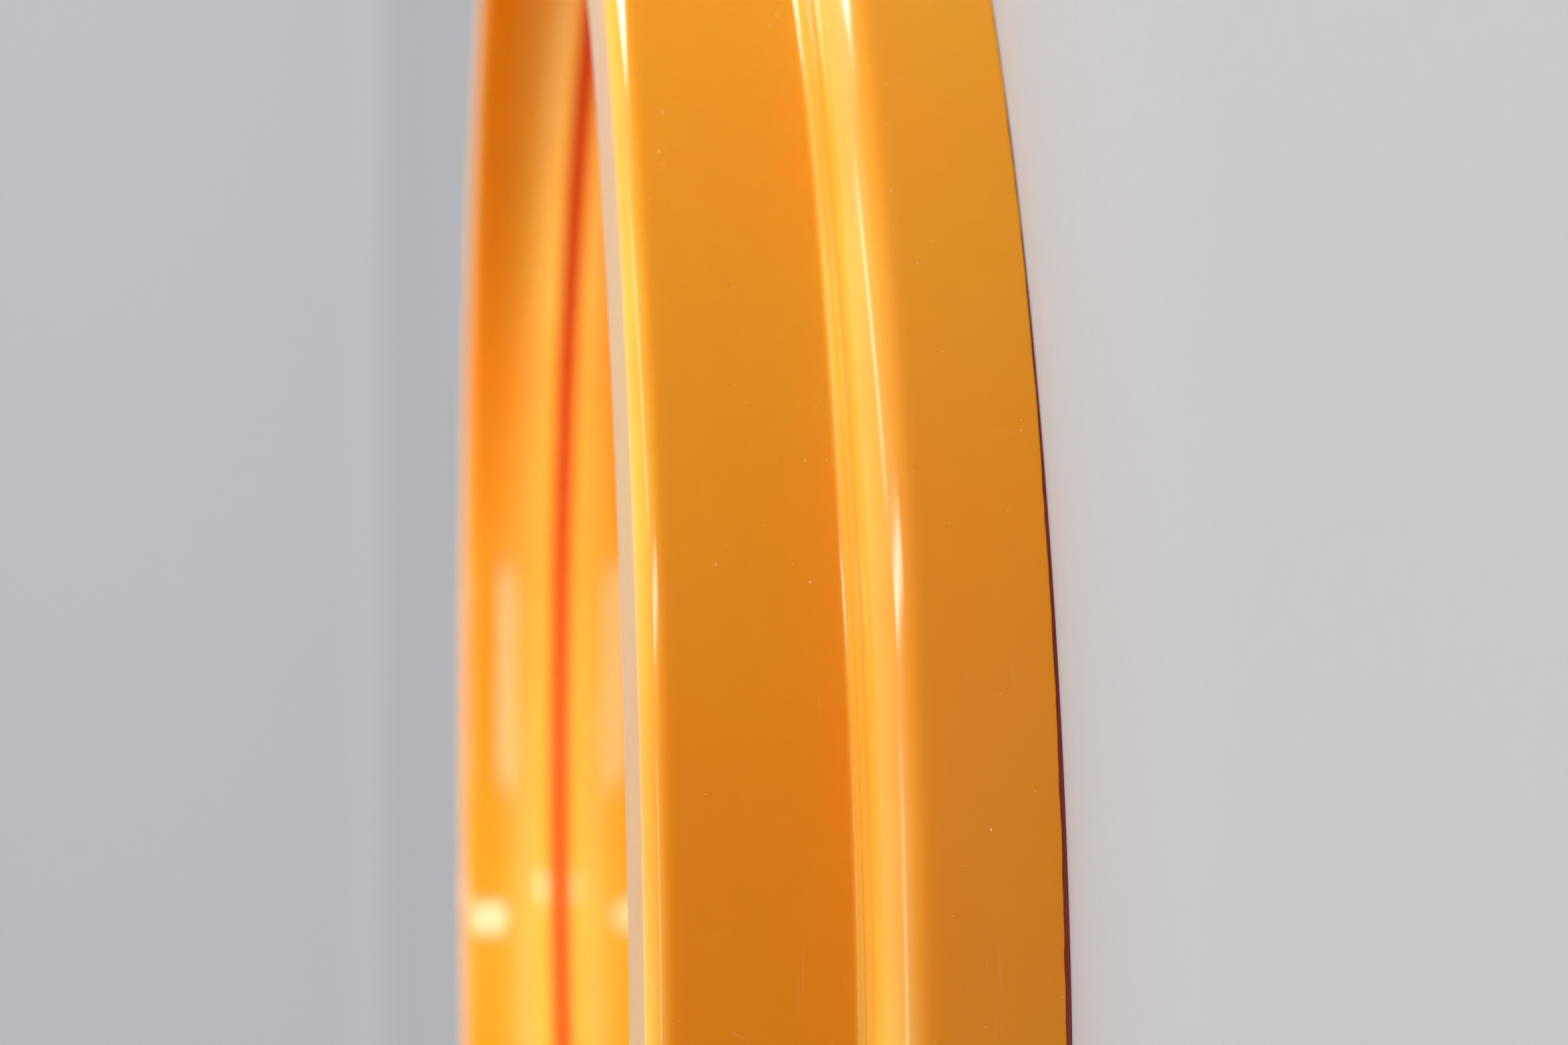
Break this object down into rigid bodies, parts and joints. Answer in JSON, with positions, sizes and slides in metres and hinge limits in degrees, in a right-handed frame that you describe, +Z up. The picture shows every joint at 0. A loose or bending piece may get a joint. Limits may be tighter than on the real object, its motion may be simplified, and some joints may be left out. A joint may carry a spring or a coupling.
{
  "type": "french curve",
  "caption": "Large orange french curve for board drawing: a stepped moulded limb with a raised rim round a recessed glossy web, lined cutouts and a rubber strip underneath.",
  "frame": {"origin": "on the resting plane, under the middle of the bounding box", "axes": "+X along the length towards the round head, +Y towards the horn, +Z up out of the table through the recessed web"},
  "size_m": [0.5987, 0.209, 0.02],
  "materials": {
    "frame_plastic": "moulded ochre-orange thermoplastic, polished, with fine handling scratches",
    "rim_plastic": "moulded saturated orange thermoplastic, polished",
    "web_plastic": "moulded orange thermoplastic, mirror-like recessed face",
    "collar_plastic": "moulded orange thermoplastic, polished",
    "back_plastic": "orange thermoplastic, fine spark-eroded texture",
    "inner_plastic": "orange thermoplastic, unfinished",
    "strip_rubber": "dark maroon rubber, matt",
    "gasket_rubber": "red silicone rubber, satin",
    "screw_steel": "zinc-plated steel",
    "insert_brass": "turned brass",
    "eyelet_brass": "polished brass",
    "cup_steel": "nickel-plated steel",
    "magnet_ferrite": "sintered ferrite, matt"
  },
  "bodies": {
    "root": {"edge_frame": "frame_plastic", "friction_strip": "strip_rubber", "web_plate": "web_plastic", "perimeter_rim": "rim_plastic", "rim_gasket": "gasket_rubber", "back_panel": "back_plastic", "head_collar": "collar_plastic", "tail_collar": "collar_plastic", "horn_collar": "collar_plastic", "hanging_eyelet": "eyelet_brass", "eyelet_washer": "eyelet_brass", "spacer_posts": "inner_plastic", "stiffening_ribs": "inner_plastic", "rim_screws": "screw_steel", "rim_inserts": "insert_brass", "back_screws": "screw_steel", "magnet_cups": "cup_steel", "magnets": "magnet_ferrite"}
  },
  "joints": []
}
